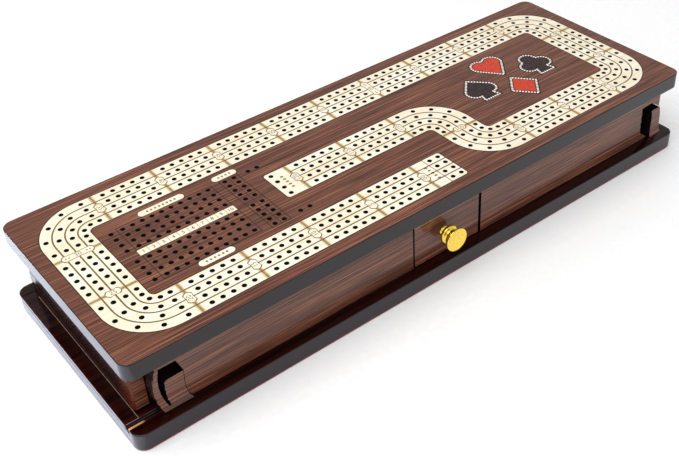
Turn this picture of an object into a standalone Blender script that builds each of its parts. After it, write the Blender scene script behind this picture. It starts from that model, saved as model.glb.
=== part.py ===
"""Cribbage board on a shallow box: four-lane track inlay, score fields, suit inlays, a front drawer and
a card tray in the left end. Metres, +Z up, +X to the right along the board, -Y to the front, z = 0 under
the felt."""

import math

import bmesh
import bpy
from mathutils import Vector

# Driving dimensions.
LANE = 0.0069
BOARD_LENGTH = 0.413
BOARD_WIDTH = 0.1445
BOARD_THICKNESS = 0.0103
CORNER_RADIUS = 0.0065
CASE_HEIGHT = 0.037
CASE_INSET_END = 0.006
CASE_INSET_SIDE = 0.007
WALL = 0.0076
BASE_LENGTH = 0.4175
BASE_WIDTH = 0.1465
BASE_THICKNESS = 0.0111
FELT_THICKNESS = 0.0009
FELT_INSET = 0.0005
GAP = 0.0003
ARRIS = 0.0005
OVERSHOOT = 0.001
SQUARE = ((1, 1), (-1, 1), (-1, -1), (1, -1))

# Heights.
BASE_TOP = FELT_THICKNESS + BASE_THICKNESS
CASE_BOTTOM = BASE_TOP + GAP
BOARD_BOTTOM = BASE_TOP + CASE_HEIGHT
CASE_TOP = BOARD_BOTTOM - GAP
BOARD_TOP = BOARD_BOTTOM + BOARD_THICKNESS

# Case plan.
CASE_X = BOARD_LENGTH / 2 - CASE_INSET_END
CASE_Y = BOARD_WIDTH / 2 - CASE_INSET_SIDE
INSIDE_X = CASE_X - WALL
INSIDE_Y = CASE_Y - WALL
PANEL_HEIGHT = CASE_HEIGHT - 2 * GAP
PANEL_FOOT = 0.0284

# Track: a band of four lanes swept along a line with right-angle turns.
LANES = 4
BAND_MARGIN = 0.0033
BAND_HALF = (LANES - 1) * LANE / 2 + BAND_MARGIN
INNER_RADIUS = 0.0035
TURN_RADIUS = INNER_RADIUS + BAND_HALF
TRACK_X = 0.18415
TRACK_Y = 0.04945
STEP = 0.039125
END_STATION = 0.0202
TURN_X = 0.0506
TURN_TO_BADGE = 0.0277
GROUP = 5
GROUP_MARGIN = 0.0068
CLOSEST_HOLES = 0.0056
START_HOLES = (0.0133, 0.0197)
START_END = 0.0226
END_RADIUS = 0.0020
FINISH_HOLE = 0.0112
FINISH_END = 0.0150
ARC_STEPS = 8
END_STEPS = 3

# Peg holes.
HOLE_RADIUS = 0.00165
HOLE_SIDES = 6
INLAY_DEPTH = 0.0065
TRACK_HOLE_DEPTH = 0.0053
SCORE_HOLE_DEPTH = 0.0065

# Score fields on the left of the board.
FIELD_Y = -0.0010
GAMES_FIRST_X = -0.1559
GAMES_COLUMNS = 10
GAMES_PITCH = 0.00605
GAMES_ROW_PITCH = 0.0062
GAMES_ROW_OFFSETS = (0.0151, -0.0150)
GAMES_ROWS = 4
SPARE_COLUMN_X = -0.1630
SKUNK_COLUMNS = (-0.0897, -0.0835)
SKUNK_ROW_OFFSETS = (0.0139, -0.0158)
SKUNK_ROWS = 5
SKUNK_PITCH = 0.0055
GROOVE_WIDTH = 0.0004
GROOVE_CUT = 0.0006
GROOVE_BOXES = (
    ((-0.1286, 0.01395), (0.0606, 0.0243)),
    ((-0.1286, -0.01588), (0.0606, 0.0244)),
    ((-0.0865, -0.0020), (0.0124, 0.0568)),
)
TALLY_HOLES = ((-0.0737, 0.0239), (-0.0675, 0.0239), (-0.0722, -0.0276), (-0.0659, -0.0276))
PLATE_DEPTH = 0.0025
STRIP_SIZE = (0.0608, 0.0053)
STRIP_RADIUS = 0.0006
STRIP_CENTRE = (-0.1288, -0.0010)
LABELS = {
    "games_won_plate": ((-0.1290, 0.0289), (0.0290, 0.0050)),
    "corner_plate": ((-0.1288, -0.0307), (0.0219, 0.0049)),
    "skunks_plate": ((-0.0868, 0.0297), (0.0161, 0.0050)),
}

# Suit inlays on the right of the board.
SUIT_CENTRE = (0.1172, 0.0010)
SUIT_SPREAD_X = 0.0255
SUIT_SPREAD_Y = 0.0160
SUIT_HALF = 0.0108
SUIT_POINTS = 40
ROPE_WIDTH = 0.0020
SUIT_DEPTH = 0.0025

# Drawer.
DRAWER_X = 0.00415
DRAWER_WIDTH = 0.0511
CLEARANCE = {"left": 0.0009, "right": 0.0017}
DRAWER_SIDE = 0.0040
DRAWER_BOTTOM = 0.0030
PARTITION = 0.0050
RUNNER_HEIGHT = 0.0040
RUNNER_WIDTH = 0.0045
DRAWER_BOX_TOP = CASE_TOP - 0.0025

# Knob.
KNOB_X = 0.0010
KNOB_Z = BASE_TOP + 0.0169
KNOB_BORE = 0.0019
KNOB_BORE_DEPTH = 0.0070
SCREW_TIP = 0.0064
SCREW_RADIUS = 0.0015
SCREW_HEAD_RADIUS = 0.0034
SCREW_HEAD = 0.0022

# Card tray in the left end.
CHANNEL_DEPTH = 0.0033
CHANNEL_Y = 0.0652
RAIL_WIDTH = 0.0012
TRAY_Y = 0.0611
TRAY_LIP = 0.0013
TRAY_FRONT = 0.0090
TRAY_FRONT_ARRIS = 0.0010
TRAY_SIDE = 0.0040
TRAY_WALL_TOP = CASE_TOP - 0.0060


def clear_scene():
    for old in list(bpy.data.objects):
        bpy.data.objects.remove(old, do_unlink=True)


def material(name, colour, roughness, metallic=0.0):
    made = bpy.data.materials.new(name)
    made.use_nodes = True
    shader = made.node_tree.nodes["Principled BSDF"]
    shader.inputs["Base Color"].default_value = (*colour, 1.0)
    shader.inputs["Roughness"].default_value = roughness
    shader.inputs["Metallic"].default_value = metallic
    return made


def node(name, bm, finish, parent=None, smooth=False):
    """Turn a bmesh into a named object with its material."""
    bmesh.ops.recalc_face_normals(bm, faces=bm.faces)
    mesh = bpy.data.meshes.new(name)
    bm.to_mesh(mesh)
    bm.free()
    mesh.materials.append(finish)
    if smooth:
        mesh.shade_smooth()
        mesh.set_sharp_from_angle(angle=math.radians(35))
    made = bpy.data.objects.new(name, mesh)
    bpy.context.scene.collection.objects.link(made)
    if parent:
        made.parent = parent
        made.matrix_parent_inverse = parent.matrix_world.inverted()
    return made


def empty(name, location):
    made = bpy.data.objects.new(name, None)
    made.location = location
    bpy.context.scene.collection.objects.link(made)
    bpy.context.view_layer.update()
    return made


def prism(outline, low, high, bm=None):
    """Add a closed prism over a plan outline, a list of (x, y)."""
    bm = bm or bmesh.new()
    bottom = [bm.verts.new((x, y, low)) for x, y in outline]
    top = [bm.verts.new((x, y, high)) for x, y in outline]
    bm.faces.new(bottom)
    bm.faces.new(top)
    for i in range(len(outline)):
        j = (i + 1) % len(outline)
        bm.faces.new((bottom[i], bottom[j], top[j], top[i]))
    bmesh.ops.recalc_face_normals(bm, faces=bm.faces)
    return bm


def box(low, high, bm=None):
    (x0, y0, z0), (x1, y1, z1) = low, high
    return prism([(x0, y0), (x1, y0), (x1, y1), (x0, y1)], z0, z1, bm)


def arc(centre, radius, start, end, steps):
    """Points on an arc, angles in degrees."""
    angles = [math.radians(start + (end - start) * i / steps) for i in range(steps + 1)]
    return [(centre[0] + radius * math.cos(a), centre[1] + radius * math.sin(a)) for a in angles]


def rounded_rectangle(length, width, radius, centre=(0.0, 0.0), steps=6):
    points = []
    for quarter, (sx, sy) in enumerate(SQUARE):
        corner = (centre[0] + sx * (length / 2 - radius), centre[1] + sy * (width / 2 - radius))
        points += arc(corner, radius, 90 * quarter, 90 * quarter + 90, steps)
    return points


def grown(outline, distance):
    """Offset an outline outward, corner by corner."""
    count = len(outline)
    if sum(outline[i - 1][0] * outline[i][1] - outline[i - 1][1] * outline[i][0] for i in range(count)) < 0:
        outline = outline[::-1]
    result = []
    for i in range(count):
        here = Vector(outline[i])
        before = (here - Vector(outline[i - 1])).normalized()
        after = (Vector(outline[(i + 1) % count]) - here).normalized()
        out = Vector((before.y + after.y, -before.x - after.x)).normalized()
        reach = max(0.35, out.dot(Vector((before.y, -before.x))))
        result.append(tuple(here + out * (distance / reach)))
    return result


def cut(target, bm, name):
    """Take a helper solid out of an object with a Boolean."""
    cutter = node(name, bm, target.data.materials[0], target.parent)
    cutter.hide_render = True
    cutter.display_type = "WIRE"
    modifier = target.modifiers.new(name, "BOOLEAN")
    modifier.operation = "DIFFERENCE"
    modifier.solver = "EXACT"
    modifier.object = cutter


def soften(target, width=ARRIS):
    """Break the edges that turn by a right angle."""
    modifier = target.modifiers.new("arris", "BEVEL")
    modifier.width = width
    modifier.segments = 1
    modifier.limit_method = "ANGLE"
    modifier.angle_limit = math.radians(60)


# Track geometry.


def turn_left(heading):
    return Vector((-heading.y, heading.x))


def stations():
    """Badge stations in playing order as (point, heading), and the corner between each pair or None."""
    west, north, east, south = (Vector(v) for v in ((-1, 0), (0, 1), (1, 0), (0, -1)))
    stops = [(Vector((-k * STEP, -TRACK_Y)), west) for k in range(5)]
    stops += [(Vector((-TRACK_X, y)), north) for y in (-END_STATION, END_STATION)]
    stops += [(Vector((k * STEP, TRACK_Y)), east) for k in range(-4, 5)]
    stops += [(Vector((TRACK_X, y)), south) for y in (END_STATION, -END_STATION)]
    stops += [(Vector((k * STEP, -TRACK_Y)), west) for k in (4, 3, 2)]
    stops += [(Vector((TURN_X, -TRACK_Y / 2)), north)]
    stops += [(Vector((TURN_X - TURN_TO_BADGE - k * STEP, 0)), west) for k in range(3)]
    return stops


def corner_between(first, second):
    """The vertex where two legs meet, or None on one straight."""
    (here, heading), (there, onward) = first, second
    if heading.dot(onward) > 0.5:
        return None
    return here + heading * heading.dot(there - here)


def lane_run(start, heading, vertex, end, onward, offset):
    """Sampled line at an offset to the left of the band's centre line."""
    first = start + turn_left(heading) * offset
    last = end + turn_left(onward) * offset
    if vertex is None:
        return [first, last]
    side = 1 if turn_left(heading).dot(onward) > 0 else -1
    radius = TURN_RADIUS - side * offset
    centre = vertex - heading * TURN_RADIUS + onward * TURN_RADIUS
    points = [first]
    for i in range(ARC_STEPS + 1):
        angle = math.radians(90) * i / ARC_STEPS
        points.append(centre - onward * (radius * math.cos(angle)) + heading * (radius * math.sin(angle)))
    return points + [last]


def along(points, distance):
    """The point at a distance along a line, carried straight on past either end."""
    for i in range(len(points) - 1):
        length = (points[i + 1] - points[i]).length
        if distance <= length or i == len(points) - 2:
            return points[i].lerp(points[i + 1], distance / length)
        distance -= length
    return points[-1]


def group_holes(first, second, offset):
    """Centres of one lane's holes between two badges."""
    (here, heading), (there, onward) = first, second
    start = here + heading * GROUP_MARGIN
    end = there - onward * GROUP_MARGIN
    line = lane_run(start, heading, corner_between(first, second), end, onward, offset)
    length = sum((line[i + 1] - line[i]).length for i in range(len(line) - 1))
    spacing = max(length / (GROUP - 1), CLOSEST_HOLES)
    lead = (length - spacing * (GROUP - 1)) / 2
    return [along(line, lead + spacing * k) for k in range(GROUP)]


def lane_offsets():
    return [LANE * (i - (LANES - 1) / 2) for i in range(LANES)]


def track_holes():
    stops = stations()
    holes = []
    for offset in lane_offsets():
        for first, second in zip(stops, stops[1:]):
            holes += group_holes(first, second, offset)
        holes += [Vector((x, -TRACK_Y - offset)) for x in START_HOLES]
        holes.append(Vector((stops[-1][0].x - FINISH_HOLE, offset)))
    return holes


def rounded_end(tip, heading, grow):
    """The two rounded corners of a band's end, from its left side to its right."""
    half = BAND_HALF + grow
    radius = END_RADIUS + grow
    across = turn_left(heading)
    points = []
    for side in (1, -1):
        centre = tip + across * side * (half - radius) - heading * radius
        for i in range(END_STEPS + 1):
            angle = math.radians(90) * i / END_STEPS
            outward, onward = math.cos(angle), math.sin(angle)
            if side < 0:
                outward, onward = onward, outward
            points.append(centre + across * side * radius * outward + heading * radius * onward)
    return points


def band_outline(grow):
    """Closed outline of the whole band."""
    stops = stations()
    sides = []
    for offset in (BAND_HALF + grow, -BAND_HALF - grow):
        side = []
        for first, second in zip(stops, stops[1:]):
            vertex = corner_between(first, second)
            run = lane_run(first[0], first[1], vertex, second[0], second[1], offset)
            side += run[1:-1]
        sides.append(side)
    (start, heading), (finish, onward) = stops[0], stops[-1]
    last = rounded_end(finish + onward * (FINISH_END + grow), onward, grow)
    first = rounded_end(start - heading * (START_END + grow), -heading, grow)
    return [tuple(p) for p in sides[0] + last + sides[1][::-1] + first]


def pits(centres, top, depth):
    """Blind polygonal holes as one cutter."""
    bm = bmesh.new()
    for x, y in centres:
        ring = arc((x, y), HOLE_RADIUS, 0, 360, HOLE_SIDES)[:-1]
        prism(ring, top - depth, top + OVERSHOOT, bm)
    return bm


# Suit shapes: each is the union of round leaves and convex wedges, traced outward from its centre.


def leaf(x, y, radius):
    return lambda p: (p - Vector((x, y))).length - radius


def wedge(*corners):
    """Distance to a convex polygon given counter-clockwise."""
    points = [Vector(c) for c in corners]
    edges = []
    for a, b in zip(points, points[1:] + points[:1]):
        along_edge = (b - a).normalized()
        edges.append((a, Vector((along_edge.y, -along_edge.x))))
    return lambda p: max((p - a).dot(out) for a, out in edges)


def stem(top):
    """A short tapered stem on a straight foot."""
    return [
        wedge((-0.15, -1.0), (0.15, -1.0), (0.09, top), (-0.09, top)),
        wedge((-0.42, -1.08), (0.42, -1.08), (0.38, -0.95), (-0.38, -0.95)),
    ]


SUITS = {
    "heart": {
        "place": (0.0, 1.0),
        "finish": "inlay_red",
        "parts": [
            leaf(0.47, 0.42, 0.50), leaf(-0.47, 0.42, 0.50),
            wedge((0.0, -1.0), (0.872, 0.122), (0.47, 0.42), (-0.47, 0.42), (-0.872, 0.122)),
        ],
    },
    "spade": {
        "place": (-1.0, 0.0),
        "finish": "inlay_black",
        "parts": [
            leaf(0.50, -0.16, 0.44), leaf(-0.50, -0.16, 0.44),
            wedge((0.0, 1.0), (-0.818, 0.144), (-0.50, -0.16), (0.50, -0.16), (0.818, 0.144)), *stem(-0.2),
        ],
    },
    "club": {
        "place": (1.0, 0.0),
        "finish": "inlay_black",
        "parts": [leaf(0.0, 0.56, 0.44), leaf(0.54, -0.12, 0.44), leaf(-0.54, -0.12, 0.44), *stem(0.1)],
    },
    "diamond": {
        "place": (0.0, -1.0),
        "finish": "inlay_red",
        "parts": [wedge((0.0, -1.0), (0.84, 0.0), (0.0, 1.0), (-0.84, 0.0))],
    },
}


def suit_outline(name, extra=0.0):
    """The outline of a suit grown by a distance, with the same number of points at any growth."""
    suit = SUITS[name]
    centre = Vector((SUIT_CENTRE[0] + suit["place"][0] * SUIT_SPREAD_X,
                     SUIT_CENTRE[1] + suit["place"][1] * SUIT_SPREAD_Y))
    outline = []
    for k in range(SUIT_POINTS):
        angle = 2 * math.pi * k / SUIT_POINTS
        ray = Vector((math.cos(angle), math.sin(angle)))
        reach = 2.0
        for _ in range(60):
            reach -= min(part(ray * reach) for part in suit["parts"]) - extra / SUIT_HALF
        outline.append(tuple(centre + ray * (reach * SUIT_HALF)))
    return outline


# Score fields.


def rows(centre_y, count, pitch):
    return [centre_y + pitch * (k - (count - 1) / 2) for k in range(count)]


def score_holes():
    holes = list(TALLY_HOLES)
    columns = [SPARE_COLUMN_X] + [GAMES_FIRST_X + GAMES_PITCH * k for k in range(GAMES_COLUMNS)]
    for offset in GAMES_ROW_OFFSETS:
        holes += [(x, y) for x in columns for y in rows(FIELD_Y + offset, GAMES_ROWS, GAMES_ROW_PITCH)]
    for offset in SKUNK_ROW_OFFSETS:
        holes += [(x, y) for x in SKUNK_COLUMNS for y in rows(FIELD_Y + offset, SKUNK_ROWS, SKUNK_PITCH)]
    return holes


def ring_solid(inner, outer, low, high, bm=None):
    """A closed ring between two outlines with the same number of points."""
    bm = bm or bmesh.new()
    loops = [[bm.verts.new((x, y, z)) for x, y in line] for line, z in (
        (outer, high), (inner, high), (inner, low), (outer, low))]
    count = len(inner)
    for a, b in zip(loops, loops[1:] + loops[:1]):
        for i in range(count):
            j = (i + 1) % count
            bm.faces.new((a[i], a[j], b[j], b[i]))
    bmesh.ops.recalc_face_normals(bm, faces=bm.faces)
    return bm


def score_grooves():
    """Fine grooves round the two games fields and the narrow one."""
    bm = bmesh.new()
    low, high = BOARD_TOP - GROOVE_CUT, BOARD_TOP + OVERSHOOT
    for (x, y), (length, width) in GROOVE_BOXES:
        outer = [(x + sx * length / 2, y + sy * width / 2) for sx, sy in SQUARE]
        ring_solid(grown(outer, -GROOVE_WIDTH), outer, low, high, bm)
    return bm


def make_board(finishes):
    outline = rounded_rectangle(BOARD_LENGTH, BOARD_WIDTH, CORNER_RADIUS)
    board = node("top_board", prism(outline, BOARD_BOTTOM, BOARD_TOP), finishes["wenge"])
    soften(board)
    above = BOARD_TOP + OVERSHOOT
    pockets = prism(band_outline(GAP), BOARD_TOP - INLAY_DEPTH - GAP, above)
    track = prism(band_outline(0.0), BOARD_TOP - INLAY_DEPTH, BOARD_TOP)
    inlay = node("track_inlay", track, finishes["maple"])
    cut(inlay, pits(track_holes(), BOARD_TOP, TRACK_HOLE_DEPTH), "track_peg_holes")

    plates = {"number_strip": rounded_rectangle(*STRIP_SIZE, STRIP_RADIUS, STRIP_CENTRE, 2)}
    for name, (centre, size) in LABELS.items():
        plates[name] = rounded_rectangle(*size, size[1] / 2, centre, 4)
    for name, outline in plates.items():
        node(name, prism(outline, BOARD_TOP - PLATE_DEPTH, BOARD_TOP), finishes["maple"])
        prism(grown(outline, GAP), BOARD_TOP - PLATE_DEPTH - GAP, above, pockets)

    for name, suit in SUITS.items():
        solid = prism(suit_outline(name), BOARD_TOP - SUIT_DEPTH, BOARD_TOP)
        node(name + "_inlay", solid, finishes[suit["finish"]])
        rope = ring_solid(suit_outline(name, GAP), suit_outline(name, GAP + ROPE_WIDTH),
                          BOARD_TOP - SUIT_DEPTH, BOARD_TOP)
        node(name + "_rope", rope, finishes["rope"])
        pocket = suit_outline(name, 2 * GAP + ROPE_WIDTH)
        prism(pocket, BOARD_TOP - SUIT_DEPTH - GAP, above, pockets)
    cut(board, pockets, "inlay_pockets")
    cut(board, pits(score_holes(), BOARD_TOP, SCORE_HOLE_DEPTH), "score_peg_holes")
    cut(board, score_grooves(), "score_field_grooves")


# Case.


def wavy(points, waves, height, side):
    """Scallop a line of (u, v) points sideways."""
    line = []
    steps = 4 * waves
    path = [Vector(p) for p in points]
    length = sum((path[i + 1] - path[i]).length for i in range(len(path) - 1))
    for k in range(steps + 1):
        point = along(path, length * k / steps)
        swell = height * abs(math.sin(math.pi * waves * k / steps)) * side
        line.append((point.x + swell, point.y))
    return line


def upright(outline, y0, y1, flip=1):
    """A plate standing on the long side: outline in (distance along, height above the base)."""
    bm = prism(outline, 0.0, 1.0)
    for vert in bm.verts:
        u, v, depth = vert.co
        vert.co = (u * flip, (y0 + (y1 - y0) * depth) * flip, CASE_BOTTOM + v)
    bmesh.ops.recalc_face_normals(bm, faces=bm.faces)
    return bm


def flare_foot(bm, front, reach=0.0020, height=0.0075):
    """Sweep the front face of a bracket forward at its foot in a cove."""
    for k in range(1, 5):
        cut_z = CASE_BOTTOM + height * k / 4
        geometry = bm.verts[:] + bm.edges[:] + bm.faces[:]
        bmesh.ops.bisect_plane(bm, geom=geometry, plane_co=(0, 0, cut_z), plane_no=(0, 0, 1))
    for vert in bm.verts:
        rise = (vert.co.z - CASE_BOTTOM) / height
        if rise < 1 and abs(vert.co.y - front) < 1e-5:
            vert.co.y += math.copysign(reach * (1 - rise) ** 2, front)


# The outlines below are (distance from the case end, height above the case's foot).

SEAM = [(0.0283, 0.0), (0.0265, 0.0030), (0.0256, 0.0089), (0.0259, 0.0154), (0.0262, 0.0192)]


def left_bracket():
    """A thin fretted stalk joined at its foot to a block that stands against the panel."""
    top = PANEL_FOOT - GAP
    stalk_left = wavy([(0.0117, 0.0), (0.0097, 0.0062), (0.0087, 0.0136), (0.0091, 0.0199), (0.0111, 0.0269),
                       (0.0113, top)], 6, 0.0005, -1)
    stalk_right = [(0.0131, top), (0.0128, 0.0258), (0.0119, 0.0225), (0.0116, 0.0168), (0.0121, 0.0112),
                   (0.0136, 0.0047), (0.0150, 0.0018)]
    block_left = wavy([(0.0157, 0.0018), (0.0147, 0.0080), (0.0146, 0.0134), (0.0149, 0.0178)], 4, 0.0004, 1)
    block_top = [(0.0158, 0.0186), (0.0172, 0.0189)]
    return stalk_left + stalk_right + block_left + block_top + SEAM[::-1]


def right_bracket():
    """A free-standing curved leg under the corner."""
    outer = [(0.0006, 0.0), (0.0004, 0.0040), (0.0, 0.0085), (0.0003, 0.0135), (0.0011, 0.0179),
             (0.0018, 0.0196)]
    inner = [(0.0100, 0.0196), (0.0092, 0.0160), (0.0090, 0.0123), (0.0092, 0.0080), (0.0096, 0.0044),
             (0.0111, 0.0)]
    return outer + inner


def left_edge():
    """The panel's edge over the left bracket, bottom to top."""
    seam = [(u + GAP, v) for u, v in SEAM]
    return seam + [(0.0241, 0.0258), (0.0231, PANEL_FOOT), (0.0111, PANEL_FOOT), (0.0114, PANEL_HEIGHT)]


def right_edge():
    """The panel's edge round the right bracket, bottom to top."""
    bay = wavy([(0.0196, 0.0058), (0.0203, 0.0100), (0.0203, 0.0140), (0.0205, 0.0260)], 4, 0.0004, 1)
    over_leg = [(0.0113, 0.0265), (0.0016, 0.0201), (0.0029, 0.0215), (0.0030, PANEL_HEIGHT)]
    return [(0.0120, 0.0)] + bay + over_leg


def from_end(outline, end):
    """Turn distances from the left (-1) or right (1) end of the case into places along X."""
    return [(end * (CASE_X - u), v) for u, v in outline]


def make_brackets(finishes):
    """A fretted bracket and a leg on each long side, the rear side turned end for end."""
    for side, flip in (("front", 1), ("rear", -1)):
        for shape, end in ((left_bracket, -1), (right_bracket, 1)):
            body = upright(from_end(shape(), end), -CASE_Y, -INSIDE_Y, flip)
            flare_foot(body, -CASE_Y * flip)
            hand = "right" if end * flip > 0 else "left"
            node(f"{side}_{hand}_bracket", body, finishes["wenge"])


def bay_edge(side):
    """Where the drawer's opening ends on one side."""
    sign = {"left": -1, "right": 1}[side]
    return DRAWER_X + sign * (DRAWER_WIDTH / 2 + CLEARANCE[side])


def make_case(finishes):
    left, right = from_end(left_edge(), -1), from_end(right_edge(), 1)
    panels = {"rear_panel": (left[::-1] + right, -1)}
    for side, edge in (("left", left), ("right", right)):
        beside_bay = [(bay_edge(side), 0.0), (bay_edge(side), PANEL_HEIGHT)]
        panels[f"front_{side}_panel"] = (edge[::-1] + beside_bay, 1)
    for name, (outline, flip) in panels.items():
        node(name, upright(outline, -CASE_Y, -INSIDE_Y, flip), finishes["wenge"])
    right_end = box((INSIDE_X, -INSIDE_Y + GAP, CASE_BOTTOM), (CASE_X, INSIDE_Y - GAP, CASE_TOP))
    soften(node("right_end_panel", right_end, finishes["lacquer"]))
    make_brackets(finishes)


def make_drawer_bay(finishes):
    for name, sign in (("left", -1), ("right", 1)):
        inner = bay_edge(name) + sign * GAP
        outer = inner + sign * PARTITION
        low = (min(inner, outer), -INSIDE_Y + GAP, CASE_BOTTOM)
        high = (max(inner, outer), INSIDE_Y - GAP, CASE_TOP)
        node(f"{name}_partition", box(low, high), finishes["plain_wood"])
        edge = inner - sign * GAP
        tip = edge - sign * RUNNER_WIDTH
        low = (min(edge, tip), -INSIDE_Y + GAP, CASE_BOTTOM)
        high = (max(edge, tip), INSIDE_Y - 4 * GAP, CASE_BOTTOM + RUNNER_HEIGHT)
        node(f"{name}_drawer_runner", box(low, high), finishes["plain_wood"])


# Drawer.


def make_drawer(finishes, drawer):
    left, right = DRAWER_X - DRAWER_WIDTH / 2, DRAWER_X + DRAWER_WIDTH / 2
    low, top = CASE_BOTTOM + RUNNER_HEIGHT + GAP, DRAWER_BOX_TOP
    front, back = -INSIDE_Y + GAP, INSIDE_Y - 3 * GAP
    face = box((left, -CASE_Y, CASE_BOTTOM + GAP), (right, -INSIDE_Y, CASE_TOP - GAP))
    panel = node("drawer_front", face, finishes["wenge"], drawer)
    bore = bmesh.new()
    bmesh.ops.create_cone(bore, cap_ends=True, segments=16, radius1=KNOB_BORE, radius2=KNOB_BORE,
                          depth=4 * WALL)
    for vert in bore.verts:
        x, y, z = vert.co
        vert.co = (KNOB_X + x, -CASE_Y + z, KNOB_Z + y)
    cut(panel, bore, "knob_screw_hole")
    wood = finishes["plain_wood"]
    inner_left, inner_right = left + DRAWER_SIDE, right - DRAWER_SIDE
    near, far = inner_left + GAP, inner_right - GAP
    inner_back = back - DRAWER_SIDE
    boards = {
        "drawer_left_side": ((left, front, low), (inner_left, back, top)),
        "drawer_right_side": ((inner_right, front, low), (right, back, top)),
        "drawer_back": ((near, inner_back, low), (far, back, top)),
        "drawer_bottom": ((near, front, low), (far, inner_back - GAP, low + DRAWER_BOTTOM)),
    }
    for name, corners in boards.items():
        node(name, box(*corners), wood, drawer)


def turned(name, profile, finish, parent, steps=28):
    """Turn a closed (radius, reach) profile about the knob's axis; reach grows toward the front."""
    bm = bmesh.new()
    rings = []
    for radius, reach in profile:
        ring = []
        for k in range(steps if radius > 0 else 1):
            angle = 2 * math.pi * k / steps
            ring.append(bm.verts.new((KNOB_X + radius * math.cos(angle), -CASE_Y - reach,
                                      KNOB_Z + radius * math.sin(angle))))
        rings.append(ring)
    for a, b in zip(rings, rings[1:]):
        for k in range(steps):
            j = (k + 1) % steps
            corners = [a[k % len(a)], a[j % len(a)], b[j % len(b)], b[k % len(b)]]
            bm.faces.new(list(dict.fromkeys(corners)))
    return node(name, bm, finish, parent, smooth=True)


def make_knob(finishes, drawer):
    bore = [(0.0, KNOB_BORE_DEPTH), (KNOB_BORE, KNOB_BORE_DEPTH), (KNOB_BORE, GAP)]
    neck = [(0.0042, GAP), (0.0042, 0.0012), (0.0030, 0.0022), (0.0030, 0.0042), (0.0046, 0.0052)]
    collar = [(0.0060, 0.0060), (0.0062, 0.0070), (0.0062, 0.0082), (0.0054, 0.0086), (0.0054, 0.0092)]
    disc = [(0.0078, 0.0100), (0.0080, 0.0108), (0.0078, 0.0118), (0.0066, 0.0122), (0.0, 0.0124)]
    turned("knob", bore + neck + collar + disc, finishes["brass"], drawer)
    under_head = -WALL - GAP
    head = [(0.0, under_head - SCREW_HEAD), (SCREW_HEAD_RADIUS * 0.6, under_head - SCREW_HEAD),
            (SCREW_HEAD_RADIUS, under_head - SCREW_HEAD / 2), (SCREW_HEAD_RADIUS, under_head)]
    shank = [(SCREW_RADIUS, under_head), (SCREW_RADIUS, SCREW_TIP), (0.0, SCREW_TIP)]
    turned("knob_screw", head + shank, finishes["steel"], drawer, steps=16)


# Base.


def along_x(section, x0, x1):
    """A bar along X with a section given in (y, z)."""
    bm = prism(section, x0, x1)
    for vert in bm.verts:
        vert.co = (vert.co.z, vert.co.x, vert.co.y)
    return bm


def channel_end():
    """Where the tray's channel stops, at the left partition."""
    return bay_edge("left") - GAP - PARTITION


def make_base(finishes):
    outline = rounded_rectangle(BASE_LENGTH, BASE_WIDTH, CORNER_RADIUS)
    base = node("base_board", prism(outline, FELT_THICKNESS, BASE_TOP), finishes["lacquer"])
    soften(base)
    felt = rounded_rectangle(BASE_LENGTH - 2 * FELT_INSET, BASE_WIDTH - 2 * FELT_INSET,
                             CORNER_RADIUS - FELT_INSET)
    node("felt_pad", prism(felt, 0.0, FELT_THICKNESS - GAP), finishes["felt"])
    floor = BASE_TOP - CHANNEL_DEPTH
    channel = box((-BASE_LENGTH / 2 - OVERSHOOT, -CHANNEL_Y, floor),
                  (channel_end(), CHANNEL_Y, BASE_TOP + OVERSHOOT))
    cut(base, channel, "tray_channel")
    rail_low = (-BASE_LENGTH / 2 + 0.0004, -CHANNEL_Y + GAP, floor + GAP)
    rail_high = (channel_end() - GAP, -CHANNEL_Y + GAP + RAIL_WIDTH, BASE_TOP - GAP)
    node("front_guide_rail", box(rail_low, rail_high), finishes["plain_wood"])


def make_tray(finishes, tray):
    """A shallow tray whose bottom board runs in the channel, lipped along the guide rail."""
    low = BASE_TOP - CHANNEL_DEPTH + GAP
    lip = low + TRAY_LIP
    front_y = -CHANNEL_Y + RAIL_WIDTH + 3 * GAP
    rear_y = CHANNEL_Y - GAP
    back = channel_end() - GAP
    section = [(front_y, low), (rear_y, low), (rear_y, BASE_TOP), (-TRAY_Y, BASE_TOP), (-TRAY_Y, lip),
               (front_y, lip)]
    soften(node("tray_bottom", along_x(section, -BASE_LENGTH / 2, back), finishes["lacquer"], tray), GAP)

    inside = INSIDE_Y - 2 * GAP
    inner = -CASE_X + TRAY_FRONT
    front = box((-CASE_X, -inside, CASE_BOTTOM), (inner, inside, CASE_TOP - GAP))
    soften(node("tray_front", front, finishes["lacquer"], tray), TRAY_FRONT_ARRIS)
    near = inner + GAP
    far = back - TRAY_SIDE - GAP
    for side, sign in (("front", -1), ("rear", 1)):
        span = sorted((sign * inside, sign * (inside - TRAY_SIDE)))
        low, high = (near, span[0], CASE_BOTTOM), (far, span[1], TRAY_WALL_TOP)
        node(f"tray_{side}_side", box(low, high), finishes["lacquer"], tray)
    low, high = (far + GAP, -inside, CASE_BOTTOM), (back, inside, TRAY_WALL_TOP)
    node("tray_back", box(low, high), finishes["lacquer"], tray)


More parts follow.
